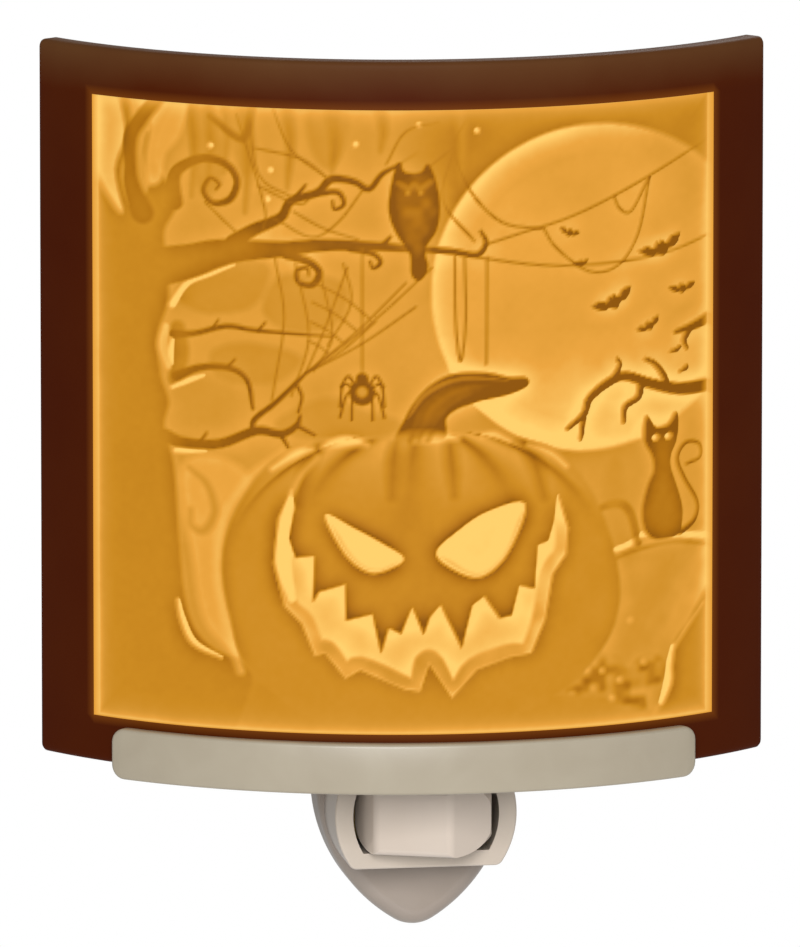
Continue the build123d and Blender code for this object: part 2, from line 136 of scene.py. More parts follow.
def add_piece(name, mesh, body, material, smooth_angle=None):
    """Makes a finished mesh an object that rides on a body."""
    data = bpy.data.meshes.new(name)
    mesh.to_mesh(data)
    mesh.free()
    data.materials.append(material)
    piece = bpy.data.objects.new(name, data)
    bpy.context.collection.objects.link(piece)
    data.shade_smooth()
    if smooth_angle:
        data.set_sharp_from_angle(angle=math.radians(smooth_angle))
    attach(piece, body)
    return piece


biscuit = bpy.data.materials.new("stained_porcelain")
biscuit.use_nodes = True
tree = biscuit.node_tree
shader = tree.nodes["Principled BSDF"]
place = tree.nodes.new("ShaderNodeTexCoord")
stain = tree.nodes.new("ShaderNodeTexNoise")
stain.inputs["Scale"].default_value = 55.0
stain.inputs["Detail"].default_value = 5.0
tree.links.new(place.outputs["Object"], stain.inputs["Vector"])
split = tree.nodes.new("ShaderNodeSeparateXYZ")
tree.links.new(place.outputs["Object"], split.inputs["Vector"])
# The border's top band, above the picture, is painted lighter towards the tile's top edge: a
# painted highlight where light catches that edge. It is added to the stain's random unevenness.
painted_top_highlight = tree.nodes.new("ShaderNodeMapRange")
painted_top_highlight.inputs["From Min"].default_value = 0.1180
painted_top_highlight.inputs["From Max"].default_value = 0.1255
painted_top_highlight.inputs["To Max"].default_value = 0.36
tree.links.new(split.outputs["Z"], painted_top_highlight.inputs["Value"])
stain_and_top_highlight = tree.nodes.new("ShaderNodeMath")
stain_and_top_highlight.operation = "MULTIPLY_ADD"
stain_and_top_highlight.inputs[1].default_value = 0.25
tree.links.new(stain.outputs["Fac"], stain_and_top_highlight.inputs[0])
tree.links.new(painted_top_highlight.outputs["Result"], stain_and_top_highlight.inputs[2])
browns = tree.nodes.new("ShaderNodeValToRGB")
browns.color_ramp.elements[0].position = 0.0
browns.color_ramp.elements[0].color = (0.0265, 0.0030, 0.0003, 1)
browns.color_ramp.elements[1].position = 1.0
browns.color_ramp.elements[1].color = (0.150, 0.092, 0.050, 1)
for spot, colour in ((0.18, (0.034, 0.0055, 0.0006, 1)), (0.5, (0.056, 0.022, 0.0070, 1))):
    stop = browns.color_ramp.elements.new(spot)
    stop.color = colour
tree.links.new(stain_and_top_highlight.outputs[0], browns.inputs["Fac"])
tree.links.new(browns.outputs["Color"], shader.inputs["Base Color"])
# The border is painted glowing in its own browns at half strength: painted light of the bulb
# shining through it. The glow turns amber where the thickness attribute rises at the window's edge.
window_edge_glow = tree.nodes.new("ShaderNodeAttribute")
window_edge_glow.attribute_name = "thickness"
warm = tree.nodes.new("ShaderNodeMix")
warm.data_type = "RGBA"
warm.inputs[7].default_value = (0.55, 0.17, 0.015, 1)
tree.links.new(window_edge_glow.outputs["Fac"], warm.inputs[0])
tree.links.new(browns.outputs["Color"], warm.inputs[6])
tree.links.new(warm.outputs[2], shader.inputs["Emission Color"])
shader.inputs["Emission Strength"].default_value = 0.5
shader.inputs["Roughness"].default_value = 0.5
shader.inputs["Specular IOR Level"].default_value = 0.03
grit = tree.nodes.new("ShaderNodeTexNoise")
grit.inputs["Scale"].default_value = 1400.0
grit.inputs["Detail"].default_value = 3.0
tree.links.new(place.outputs["Object"], grit.inputs["Vector"])
rough_face = tree.nodes.new("ShaderNodeBump")
rough_face.inputs["Strength"].default_value = 0.12
rough_face.inputs["Distance"].default_value = 0.0001
tree.links.new(grit.outputs["Fac"], rough_face.inputs["Height"])
tree.links.new(rough_face.outputs["Normal"], shader.inputs["Normal"])

half_arc = tile_radius * tile_angle
field_arc = tile_radius * field_angle
tile = bmesh.new()
kept = tile.verts.layers.float.new("thickness")
bmesh.ops.create_cube(tile, size=1, matrix=Matrix.LocRotScale(
    (0, tile_thickness / 2, tile_height / 2), None, (2 * half_arc, tile_thickness, tile_height)))
corners = [e for e in tile.edges if abs(e.verts[0].co.y - e.verts[1].co.y) > 1]
bmesh.ops.bevel(tile, geom=corners, offset=1.2, affect="EDGES", segments=4, profile=0.5,
                material=-1)
rims = [e for e in tile.edges if abs(e.verts[0].co.y - e.verts[1].co.y) < 0.01]
bmesh.ops.bevel(tile, geom=rims, offset=0.8, affect="EDGES", segments=3, profile=0.5,
                material=-1)
columns = [field_arc * (2 * i / 75 - 1) for i in range(76)]
columns += [side * (field_arc + (half_arc - field_arc) * i / 8)
            for i in range(1, 8) for side in (-1, 1)]
rows = [field_low + (field_high - field_low) * i / 70 for i in range(71)]
rows += [field_low * i / 5 for i in range(1, 5)]
rows += [field_high + (tile_height - field_high) * i / 5 for i in range(1, 5)]
for cuts, axis in ((columns, Vector((1, 0, 0))), (rows, Vector((0, 0, 1)))):
    for cut in cuts:
        bmesh.ops.bisect_plane(tile, geom=tile.verts[:] + tile.edges[:] + tile.faces[:], dist=1e-5,
                               plane_co=axis * cut, plane_no=axis)
window = [f for f in tile.faces if f.normal.y < -0.99 and abs(f.calc_center_median().x) < field_arc
          and field_low < f.calc_center_median().z < field_high]
bmesh.ops.delete(tile, geom=window, context="FACES")
bmesh.ops.subdivide_edges(tile, edges=[e for e in tile.edges if e.is_boundary], cuts=3)
sill_thickness = 0.35
for v in tile.verts:
    v[kept] = sill_thickness if v.is_boundary else 0.0
for f in tile.faces:
    f.material_index = 2 if f.normal.y > 0.99 else 0

back_face = bpy.data.materials.new("bare_porcelain")
back_face.use_nodes = True
tree = back_face.node_tree
shader = tree.nodes["Principled BSDF"]
place = tree.nodes.new("ShaderNodeTexCoord")
mottle = tree.nodes.new("ShaderNodeTexNoise")
mottle.inputs["Scale"].default_value = 70.0
mottle.inputs["Detail"].default_value = 6.0
tree.links.new(place.outputs["Object"], mottle.inputs["Vector"])
creams = tree.nodes.new("ShaderNodeValToRGB")
creams.color_ramp.elements[0].position = 0.3
creams.color_ramp.elements[0].color = (0.74, 0.66, 0.54, 1)
creams.color_ramp.elements[1].position = 0.7
creams.color_ramp.elements[1].color = (0.84, 0.79, 0.69, 1)
tree.links.new(mottle.outputs["Fac"], creams.inputs["Fac"])
tree.links.new(creams.outputs["Color"], shader.inputs["Base Color"])
shader.inputs["Roughness"].default_value = 0.62

# ------------------------------------------------------------------ the picture
# A relief pressed into the tile's thin middle. Dark shapes are thick porcelain and stand
# proud, bright ones are hollowed out. The shapes are laid one over another, back to front,
# as the wax for the mould is carved, and every point of the relief keeps its thickness.
cells_across, cells_up = 300, 280
carving = bmesh.ops.create_grid(tile, x_segments=cells_across, y_segments=cells_up,
                                size=0.5)["verts"]
grid = np.array([v.co for v in carving])
arcs = grid[:, 0] * 2 * field_arc
px = tile_radius * np.sin(arcs / tile_radius)
field_height = field_high - field_low
pz = (grid[:, 1] + 0.5) * field_height
thick = np.zeros(len(px))


def patches(size, seed):
    """Smooth random patches of about a size in mm, from -1 to 1."""
    lattice = np.random.default_rng(seed).uniform(-1, 1, (int(120 / size) + 3,) * 2)
    u, v = (px + 50) / size, (pz + 2) / size
    i, j = u.astype(int), v.astype(int)
    u, v = u - i, v - j
    u, v = u * u * (3 - 2 * u), v * v * (3 - 2 * v)
    low = lattice[i, j] * (1 - u) + lattice[i + 1, j] * u
    high = lattice[i, j + 1] * (1 - u) + lattice[i + 1, j + 1] * u
    return low * (1 - v) + high * v


def curve(points, closed=False):
    """A smooth line through the points, whatever else they carry besides x and z."""
    p = np.array(points, float)
    ends = (p[-1:], p[:2]) if closed else (2 * p[:1] - p[1:2], 2 * p[-1:] - p[-2:-1])
    p = np.vstack([ends[0], p, ends[1]])
    t = np.linspace(0, 1, 5, endpoint=False)[:, None]
    spans = [0.5 * (2 * b + (c - a) * t + (2 * a - 5 * b + 4 * c - d) * t**2
                    + (3 * b - a - 3 * c + d) * t**3)
             for a, b, c, d in zip(p, p[1:], p[2:], p[3:])]
    return np.vstack(spans + [p[-2:-1]])


def around(line, margin):
    """The vertices within a margin of a line's own box."""
    (x0, z0), (x1, z1) = line[:, :2].min(0) - margin, line[:, :2].max(0) + margin
    return np.flatnonzero((px > x0) & (px < x1) & (pz > z0) & (pz < z1))


def stroke(points, soft=0.35):
    """Cover, 0 to 1, of a tapering line; each point is (x, z, width)."""
    cover = np.zeros(len(px))
    line = curve(points)
    for a, b in zip(line, line[1:]):
        k = around(np.array([a, b]), max(a[2], b[2]) / 2 + soft)
        run = b[:2] - a[:2]
        t = ((px[k] - a[0]) * run[0] + (pz[k] - a[1]) * run[1]) / max(run @ run, 1e-9)
        t = np.clip(t, 0, 1)
        gap = np.hypot(px[k] - a[0] - t * run[0], pz[k] - a[1] - t * run[1])
        half = (a[2] + (b[2] - a[2]) * t) / 2
        cover[k] = np.maximum(cover[k], np.clip(0.5 + (half - gap) / soft, 0, 1))
    return cover


def thread(width, points, soft=0.35):
    """A line of one width."""
    return stroke([(x, z, width) for x, z in points], soft)


def fill(points, soft=0.5, sharp=False):
    """Cover, 0 to 1, of a closed outline."""
    line = np.array(points + points[:1], float) if sharp else curve(points, closed=True)
    k = around(line, soft)
    inside, gap = np.zeros(len(k), bool), np.full(len(k), 1e9)
    for a, b in zip(line, line[1:]):
        run = b - a
        if abs(run[1]) > 1e-9:
            meets = (a[1] > pz[k]) != (b[1] > pz[k])
            inside ^= meets & (px[k] < a[0] + run[0] * (pz[k] - a[1]) / run[1])
        t = ((px[k] - a[0]) * run[0] + (pz[k] - a[1]) * run[1]) / max(run @ run, 1e-9)
        t = np.clip(t, 0, 1)
        gap = np.minimum(gap, np.hypot(px[k] - a[0] - t * run[0], pz[k] - a[1] - t * run[1]))
    cover = np.zeros(len(px))
    cover[k] = np.clip(0.5 + np.where(inside, gap, -gap) / soft, 0, 1)
    return cover


def lay(cover, thickness, share=1.0):
    """Lays a shape of a thickness (0 thinnest, 1 thickest) over what is there."""
    thick[:] = thick * (1 - cover * share) + thickness * cover * share


def disc(x, z, radius, soft=0.5):
    """Cover of a round shape."""
    return np.clip(0.5 + (radius - np.hypot(px - x, pz - z)) / soft, 0, 1)


# sky with thin cloud, the moon and its halo
thick[:] = 0.50 + 0.23 * np.clip((px + 2) / 10, 0, 1) * np.clip((pz - 60) / 25, 0, 1)
thick += 0.035 * patches(14, 1) + 0.02 * patches(5, 2)
for x, z, radius, tone in ((-20, 76, 9, 0.43), (-12, 64, 9, 0.45), (-20, 40, 8, 0.42),
                           (-30, 35, 6, 0.44), (-17, 88, 7, 0.45), (3, 62, 8, 0.42)):
    lay(disc(x, z, radius, 9), tone, 0.6)
for shape in ([(-33, 71), (-27, 73), (-21, 72), (-23, 66), (-30, 64), (-35, 66)],
              [(-20, 70), (-15, 71), (-9, 69), (-11, 63), (-18, 62), (-22, 65)],
              [(-30, 58), (-24, 60), (-16, 58), (-20, 54), (-28, 54)],
              [(-12, 52), (-6, 50), (0, 48), (-4, 46), (-16, 45.6), (-20, 48)],
              [(-33, 96), (-29, 95), (-28, 86), (-31, 82), (-33, 88)],
              [(-27, 96), (-24, 95), (-23, 88), (-25.6, 86)],
              [(-15, 96), (-9, 96), (-9.6, 90), (-12, 87), (-14.5, 90)]):
    lay(fill(shape, 1.2), 0.59, 0.75)
halo = np.hypot(px - 29.2, pz - 68)
thick -= 0.10 * np.exp(-np.clip(halo - 25, 0, None) / 2.5) * (halo > 25)
moon = disc(29.2, 68, 25.2, 0.8)
lay(moon, 0.38 + 0.08 * np.clip((px - 34) / 10, 0, 1) + 0.03 * patches(6, 3) + 0.05 * patches(13, 4)
    - 0.22 * np.clip((halo - 20.5) / 5, 0, 1) * np.clip((40 - px) / 16, 0, 1)
    - 0.17 * np.clip((62 - pz) / 12, 0, 1))
for x, z, radius in ((22, 79, 4), (36, 84, 3), (33, 57, 5), (20, 62, 3.5), (41, 68, 3)):
    lay(disc(x, z, radius, 4) * moon, 0.36, 0.4)

# hanging strands of moss at the top left, stars
for x, low, width in ((-30.5, 84, 1.6), (-28, 86, 1.2), (-24.8, 80, 2.2), (-18.3, 84, 2.0),
                      (-11.5, 86, 2.4), (8.2, 84, 1.8), (-33, 82, 1.5), (-4, 90, 2.0)):
    strand = [(x, 97, width), (x + 0.6, (97 + low) / 2, width * 0.7), (x + 0.1, low, 0.2)]
    lay(stroke(strand, 1.2), 0.66, 0.8)
lay(stroke([(-30, 94.6, 1.0), (-26, 91.6, 1.2), (-24.4, 92, 1.1), (-23.6, 97, 1.4)], 0.6), 0.74,
    0.9)
for x, z in ((-39.2, 91.6), (-7.7, 91), (-20.8, 86.7), (-21.3, 82.2), (11, 93), (2, 94), (-30, 90)):
    lay(disc(x, z, 0.35, 0.7), 0.15)

# far hill, ledge and rocks at the right, bushes along its foot
hill = fill([(22, 0), (24, 16), (29, 26), (34, 27.2), (38.3, 28), (43.4, 28), (49, 26.5), (49, -2),
             (30, -4)], 1.2)
lay(hill, 0.46 + 0.06 * patches(6, 5) + 0.05 * patches(2.5, 9))
lay(stroke([(30, 26.3, 0.6), (34.8, 27.5, 0.9), (37, 28.8, 0.8), (40.2, 28.6, 1.0),
            (48, 27.4, 0.8)], 0.5), 0.10, 0.9)
lay(stroke([(32, 25.4, 0.4), (36, 26.6, 0.6), (42, 27.2, 0.6), (48, 26, 0.4)], 0.6), 0.68, 0.7)
lay(stroke([(29.4, 33.4, 0.9), (33, 34.2, 1.3), (35.1, 32.4, 1.3), (36.3, 27.7, 1.1)], 0.6), 0.70,
    0.85)
lay(fill([(31, 34), (31.3, 40), (33.5, 40.5), (33.9, 34.4)], 1.5), 0.56, 0.6)
lay(stroke([(34, 10, 5), (38, 19, 6), (42, 25, 4)], 4), 0.56, 0.8)
rock = fill([(48.5, 18.5), (46, 16.9), (44.4, 14.3), (42.5, 12), (41.7, 9), (41.3, 5), (40, 1.6),
             (38.8, -2), (49, -2)], 0.8)
lay(rock, 0.67 + 0.03 * patches(4, 6))
lay(stroke([(46.8, 17, 0.3), (44, 13.4, 0.5), (42, 10.6, 0.5)], 0.6), 0.3, 0.6)
lay(stroke([(42, 11, 0.4), (41.4, 8, 0.9), (41.2, 5.4, 1.2), (40.2, 2.4, 0.7)], 0.5), 0.10, 0.9)
for x, z, radius in ((27.5, 6, 3.2), (31, 7.6, 3), (34.6, 5, 3), (38, 7.4, 2.4), (29.5, 3, 3.4),
                     (35, 1.5, 3.5)):
    lay(disc(x, z, radius, 1.6), 0.66 + 0.16 * patches(1.3, 15), 0.85)
for x, z in ((30.6, 8.4), (25.9, 5), (35.1, 15.8), (33.4, 6.7), (37.2, 9), (28.3, 8.8),
             (32.2, 3.9)):
    lay(disc(x, z, 0.5, 0.7), 0.36, 0.7)

# ground, trunk and limbs of the bare tree
ground = fill([(-49, -3), (-49, 12), (-33, 11.6), (-27, 10.6), (-24, 9.6), (-10, 6), (10, 5),
               (25, 5.5), (33, 3), (40, -3)], 1.5)
lay(ground, 0.64 + 0.02 * patches(7, 7))
trunk = fill([(-50, 99), (-44, 98), (-42.2, 94), (-42.8, 88.8), (-43.7, 84), (-42, 79.6),
              (-39.4, 83), (-40.2, 88), (-39.4, 92), (-37.6, 97), (-35.4, 97), (-38.2, 91),
              (-38.6, 86.5), (-36.5, 83.5), (-35.4, 80), (-37, 76.5), (-36.9, 73), (-36.4, 66),
              (-38.1, 60), (-37.6, 54), (-36.4, 50), (-37.1, 46), (-35.6, 40), (-34.8, 28),
              (-34, 20), (-32.4, 15), (-29.2, 12), (-24.6, 10), (-24, 6), (-30, -3), (-50, -3)],
              0.7)
lay(trunk, 0.68 + 0.02 * patches(6, 8))
lay(fill([(-44.9, 97.5), (-43.1, 91), (-44.6, 85), (-43.6, 78.5), (-46.6, 82), (-49, 88),
          (-49, 98)], 1.2),
    0.26, 0.9)
lay(fill([(-41.4, 97), (-39.4, 92.6), (-40, 87.6), (-39.6, 83.4), (-37.6, 84), (-36.9, 88),
          (-34.6, 91.4),
          (-34.2, 97)], 1.0), 0.34, 0.85)
lay(stroke([(-37.9, 97, 2.0), (-40.4, 93.6, 2.2), (-42.1, 90.5, 2.2), (-42.2, 86, 2.0),
            (-41.9, 82.8, 2.6), (-40.4, 78.9, 3.6)], 0.7), 0.76)
lay(stroke([(-35, 61.5, 2.2), (-34.6, 57.5, 2.6), (-35.6, 53.5, 2)], 0.8), 0.62)
lay(stroke([(-37, 61.5, 1.0), (-37.4, 58.5, 1.6), (-36.6, 55.4, 1.0)], 0.7), 0.34)
for line in ([(-36, 65, 1.2), (-33.6, 68.5, 1.0), (-30, 70.2, 0.7), (-26.5, 71.8, 0.3)],
             [(-36, 52.2, 0.5), (-33.9, 53.3, 1.0), (-31.2, 54.4, 0.4)],
             [(-35.6, 42.4, 0.6), (-33.9, 42.6, 1.2), (-31, 42.8, 0.6)],
             [(-35.1, 19.3, 0.5), (-34.4, 16.4, 1.1), (-32.6, 12.9, 1.2), (-28.4, 10.9, 0.4)],
             [(-35.9, 59.8, 0.6), (-36.2, 57.6, 1.0), (-36, 55.9, 0.4)]):
    lay(stroke([(x, z, 0.75 * w) for x, z, w in line], 0.6), 0.08, 0.9)
lay(fill([(-34.4, 40), (-33, 26), (-31, 16), (-26, 11.5), (-27, 17), (-28.6, 24), (-27.6, 33),
          (-24, 39), (-29, 42)], 1.4), 0.33, 0.9)
lay(stroke([(-33.4, 40, 0.5), (-30.6, 37.6, 0.9), (-29.4, 33.5, 1.2), (-31, 30.4, 1.2),
            (-33, 31, 0.9), (-33.2, 33.4, 0.7)], 1.0), 0.52, 0.7)

branches = [
    [(-37.5, 70.8, 6), (-33, 72, 5.2), (-29.5, 73.3, 4.4), (-25.5, 74.1, 3.4), (-19, 74.6, 2.4),
     (-13, 75.4, 1.9), (-6, 75.4, 1.5), (1, 75, 1.1), (7, 74.5, 0.9), (11, 73.9, 0.8),
     (12.4, 75.7, 0.7), (11.6, 77.5, 0.4)],
    [(-35.6, 81, 2.8), (-35.6, 84.6, 2.0), (-34.3, 86.5, 1.6), (-31, 88, 1.3), (-27.6, 87.3, 1.2),
     (-25.9, 84.9, 1.1), (-26.9, 82, 1.1), (-29.5, 81.2, 0.9), (-31, 83, 0.8), (-30, 85, 0.6),
     (-28.6, 84.2, 0.5), (-29.1, 83.3, 0.4)],
    [(-26.5, 75.3, 2.4), (-23.4, 77.4, 1.9), (-19.2, 79.5, 1.5), (-17.6, 82.1, 1.3),
     (-13.6, 83.5, 1.2),
     (-11.4, 85.6, 1.2), (-8, 85.3, 1.0), (-5.6, 84.2, 0.9), (-3.6, 86.5, 0.8), (-0.8, 88, 0.5)],
    [(-13.5, 83.4, 1.0), (-10.4, 83.6, 0.8), (-9.5, 81.8, 0.6), (-10.9, 81, 0.5),
     (-11.3, 82.2, 0.4)],
    [(-18.4, 73.8, 1.4), (-15, 72.8, 1.2), (-13.3, 71.2, 1.1), (-14.3, 69.3, 1.0),
     (-16.4, 69.6, 0.8),
     (-16.7, 71.4, 0.7), (-15.2, 71.8, 0.6), (-14.9, 70.8, 0.4)],
    [(-8.6, 75, 1.0), (-5, 74.2, 0.8), (-3.9, 72.9, 0.7), (-5, 72, 0.5), (-5.5, 73, 0.4)],
    [(-35.6, 60.5, 1.4), (-32.3, 60.9, 0.9), (-27.5, 62.3, 0.8), (-22.9, 61.9, 0.6),
     (-11.6, 61.4, 0.3)],
    [(-35.2, 54, 1.6), (-31.7, 55.6, 1.1), (-27.3, 55.9, 1.0), (-24.4, 54.2, 0.8),
     (-23.5, 49.8, 0.5)],
    [(-37, 44.6, 2.2), (-34, 43.8, 1.7), (-28.5, 44.1, 1.5), (-23, 46.4, 1.4), (-19.1, 46.1, 1.2),
     (-16.8, 47.5, 0.9), (-16.2, 49, 0.5)],
    [(-19.2, 46, 0.8), (-18.1, 44.1, 0.4)],
    [(-16.6, 47.4, 0.7), (-14, 46.1, 0.4)],
    [(-23.5, 46.5, 0.9), (-23.2, 48.2, 0.9), (-20, 50.9, 0.8), (-16.9, 54, 0.7),
     (-15.3, 55.7, 0.4)],
    [(-16.9, 54, 0.6), (-16, 52, 0.5), (-16.5, 49.6, 0.4)],
    [(48, 50.9, 2.2), (43, 50.9, 1.8), (38.4, 52.2, 1.5), (34.2, 53.8, 1.3), (31.2, 52.8, 1.2),
     (28.6, 50.7, 1.0), (27.8, 48.5, 0.8), (25.3, 46.4, 0.5)],
    [(27.8, 48.7, 0.7), (27.5, 46.2, 0.6), (27.3, 44.6, 0.4)],
    [(36.8, 52.6, 1.0), (36.3, 50.3, 0.8), (34.3, 49, 0.7), (34.1, 46.7, 0.4)],
    [(41, 51.5, 1.0), (40.2, 53.6, 0.8), (38.9, 55.3, 0.6), (37.5, 56.1, 0.4)],
    [(48, 61.4, 2.0), (45, 60.4, 1.2), (42.2, 59.8, 0.5)],
    [(44.6, 60.3, 0.9), (43.6, 58.4, 0.6), (44.1, 57, 0.3)],
    [(32.6, 53.8, 0.8), (33.4, 55.6, 0.5), (33, 56.6, 0.3)],
    [(-29.6, 61.8, 0.6), (-28.8, 63.2, 0.3)], [(-22.6, 61.9, 0.5), (-21.6, 63.2, 0.3)],
    [(-27.3, 56, 0.6), (-26.2, 57.3, 0.3)], [(-16.9, 82.6, 0.9), (-15.4, 84.6, 0.4)],
    [(-3.6, 75.4, 1.0), (-2.4, 76.8, 0.5)], [(-31.6, 44, 0.8), (-30.6, 45.6, 0.4)],
]
for line in branches:
    lay(stroke(line, 0.4), 0.68 + 0.10 * np.clip((px + 37) / 14, 0, 1) + 0.07 * (px > 20))

# cobwebs
web = [
    [(12.3, 75.4), (17.9, 77), (25.9, 79.2), (35.4, 83.2), (47, 89)],
    [(9.9, 95.6), (7.5, 90.6), (9.9, 83.9), (14.8, 78.8), (21, 77.5)],
    [(7.5, 90.6), (3, 87.1)], [(7.5, 90.6), (5.7, 82.5), (10.6, 76)],
    [(21.4, 77.5), (23.4, 74.4), (28.4, 70.5), (33, 71), (36.2, 75.6), (38, 84.3)],
    [(32.4, 81.7), (33.4, 79.7), (35.2, 79.3), (37.8, 84)],
    [(10.9, 73.5), (21, 71.9), (30.6, 71.5), (40.2, 72.2), (47.5, 74.2)],
    [(7.6, 73.6), (7.7, 64), (8.5, 57.5), (9.3, 64), (9.1, 73.4)],
    [(12.6, 73.4), (12.5, 57)],
    [(-6.7, 75), (-6.7, 54.5)],
    [(-20.2, 73.4), (-18.7, 64), (-20.6, 51.2)],
    [(-17, 72.4), (-14.9, 61.4), (-17.6, 52)],
    [(-13.2, 71.4), (-11.3, 61.6), (-14.2, 56)],
    [(-9.6, 72.6), (-8.4, 66.6), (-12, 60)],
    [(-26, 95), (-23.4, 87), (-21.6, 80.4), (-21.8, 77.6)],
    [(-22.6, 84.2), (-16.6, 81.6), (-14.6, 82.8)],
    [(-20.6, 79.6), (-14.6, 76.6), (-10.4, 79), (-6.6, 84)],
    [(-17.2, 80.4), (-12.6, 78), (-7.4, 76.4)],
    [(-30.8, 81.2), (-25.8, 76.6)],
    [(-24, 96), (-22.6, 86), (-17.4, 82.6)],
    [(-23.2, 90), (-16, 88.6), (-11.8, 85.6)],
    [(-20.4, 96), (-17.6, 90), (-12.4, 86)],
    [(-3, 88), (0, 93), (5, 94.4)],
]
web += [[(-15.4, 55.6), ((-15.4 + x) / 2, (55.6 + z) / 2 - 0.6), (x, z)]
        for x, z in ((-4.7, 63.7), (0, 69.7), (4, 72), (-9, 72), (1.5, 66))]
web += [[(-15.4 + 0.10 * s, 55.6 + 1.0 * s), (-15.4 + 0.42 * s, 55.6 + 0.84 * s),
         (-15.4 + 0.70 * s, 55.6 + 0.62 * s)] for s in (5, 8, 11, 14)]
for line in web:
    lay(thread(0.3, line, 0.4), 0.74, 0.8)

# bats, each a body and two scalloped wings
for x, z, size, lean in ((39.9, 73.0, 3.4, 0.33), (32.4, 65.4, 3.3, 0.42), (43.2, 66.4, 2.0, 0.1),
                         (25.4, 76.6, 1.5, -0.3), (27.2, 71.8, 1.1, 0.1), (38, 61.2, 1.9, 0.5),
                         (42.3, 57, 0.9, 0.4), (43.6, 53.8, 0.8, 0.6)):
    c, s = math.cos(lean) * size, math.sin(lean) * size
    wings = [(-1, 0.3), (-0.62, 0.34), (-0.3, 0.12), (-0.1, 0.34), (0, 0.24), (0.1, 0.34),
             (0.3, 0.12), (0.62, 0.34), (1, 0.3), (0.76, 0.0), (0.5, -0.14), (0.3, -0.1),
             (0, -0.34), (-0.3, -0.1), (-0.5, -0.14), (-0.76, 0.0)]
    lay(fill([(x + c * u - s * v, z + s * u + c * v) for u, v in wings], 0.4, sharp=True), 0.98)

# owl on the branch, a plain perched shape with two ear tufts
owl = fill([(-1.2, 88.2), (-0.2, 86.9), (1.4, 86.6), (2.6, 87), (3.4, 88), (4.6, 85.6), (5.3, 81.5),
            (4.7, 77.8), (3, 74.9), (3.4, 72.2), (2.2, 70.2), (0.9, 71), (0.6, 74.2), (-1.4, 77.2),
            (-2.6, 80.6), (-2.3, 84.6)], 0.45)
lay(owl, 0.87 + 0.03 * patches(1.4, 13))
lay(thread(0.9, [(-1.2, 85.2), (0.4, 84.3), (1.3, 84.9), (2.2, 84.3), (3.8, 85.3)], 0.6), 0.78, 0.8)
for x in (0.3, 2.3):
    lay(disc(x, 83.6, 0.35, 0.5), 0.70, 0.8)
lay(thread(0.5, [(2.4, 92.4), (2.5, 90.6), (1.2, 89.4), (-0.4, 88.4)]), 0.62, 0.8)

# spider on its thread
for side in (-1, 1):
    for knee, foot in (((2.1, 2.3), (3.3, 0.6)), ((2.9, 1.0), (3.4, -2.4)),
                       ((2.4, -0.6), (3.4, -4.0)),
                       ((1.5, -1.4), (1.6, -4.4))):
        lay(thread(0.4, [(-6.7 + side * 0.8, 53.2), (-6.7 + side * knee[0], 53 + knee[1]),
                         (-6.7 + side * foot[0], 53 + foot[1])], 0.35), 0.8)
lay(np.maximum(disc(-6.7, 52.8, 2.0, 0.5), disc(-6.7, 54.8, 1.0, 0.5)), 0.85)
lay(disc(-6.7, 52.9, 0.8, 0.6), 0.62)

# cat on the ledge, seated with its tail curled up
tail = [(43.2, 28.6, 0.9), (45.3, 30.4, 0.6), (45.7, 33, 0.5), (43.6, 37, 0.5), (42.5, 40.2, 0.5),
        (43.8, 42.4, 0.5), (46, 42, 0.5), (46.2, 39.9, 0.45), (44, 39.1, 0.4)]
lay(stroke(tail, 0.4), 0.78)
cat = fill([(38.6, 28.1), (37.2, 30), (36.9, 33), (37.7, 36.4), (38.7, 38.8), (38.4, 41),
            (37.4, 43), (37.2, 45), (37.7, 47.2), (38.9, 45.6), (40, 45.3), (41.2, 45.7),
            (42.4, 47.3), (42.6, 45), (42.3, 42.8), (41.5, 40.8), (41.5, 38.8), (42.4, 36),
            (43.3, 32.6), (43.2, 29.6), (42.4, 28.1)], 0.45)
lay(cat, 0.80)
for x in (38.95, 41.0):
    lay(disc(x, 43.8, 0.5, 0.4), 0.3)

# stem and body of the pumpkin, with its ribs
body_outline = [(-24.4, 9.6), (-27, 17), (-28.2, 24), (-27.6, 30), (-25, 36), (-20.6, 41.8),
                (-14.5, 44.8), (-9, 46.1), (-3, 45.4), (3, 46.3), (8.3, 46.2), (12.8, 47),
                (17.6, 45.3), (22.6, 43.7), (27.6, 38.6), (31, 32), (33.2, 24), (33.2, 17.5),
                (30.6, 11.6), (24.5, 5.8), (14, 1.8), (0, 0.6), (-14, 2.2)]
pumpkin = fill(body_outline, 0.8)
lay(stroke([(-25.4, 9, 0.6), (-28.2, 17, 0.8), (-29.2, 25, 0.9), (-28.2, 32, 0.9),
            (-24.6, 38.6, 0.7), (-19, 43.4, 0.5)], 1.6), 0.30, 0.8)
swell = 30.8 * np.sqrt(np.clip(1 - ((pz - 23.5) / 23.8) ** 2, 0.02, 1))
lobes = np.abs(np.sin(5 * np.arcsin(np.clip((px - 2.5) / swell, -1, 1)) + 0.4))
crown = np.clip((pz - 29) / 16, 0, 1)
face = np.exp(-((px - 2.5) / 19) ** 2 - ((pz - 25) / 14) ** 2)
lay(pumpkin, 0.63 + 0.06 * face + 0.09 * crown * np.exp(-(lobes / 0.6) ** 2)
    - 0.22 * lobes * crown ** 2 + 0.02 * patches(5, 16))
lay(pumpkin * np.clip((14 - pz) / 12, 0, 1), 0.66, 0.5)
for x, z in ((-13.4, 43.6), (-1.4, 44.8), (6.6, 45), (18.2, 44.2)):
    lay(stroke([(x, z + 1, 1.0), (x * 1.12 - 0.3, z - 3, 2.0), (x * 1.2 - 0.4, z - 8, 0.6)],
               2.2) * pumpkin, 0.80, 0.75)
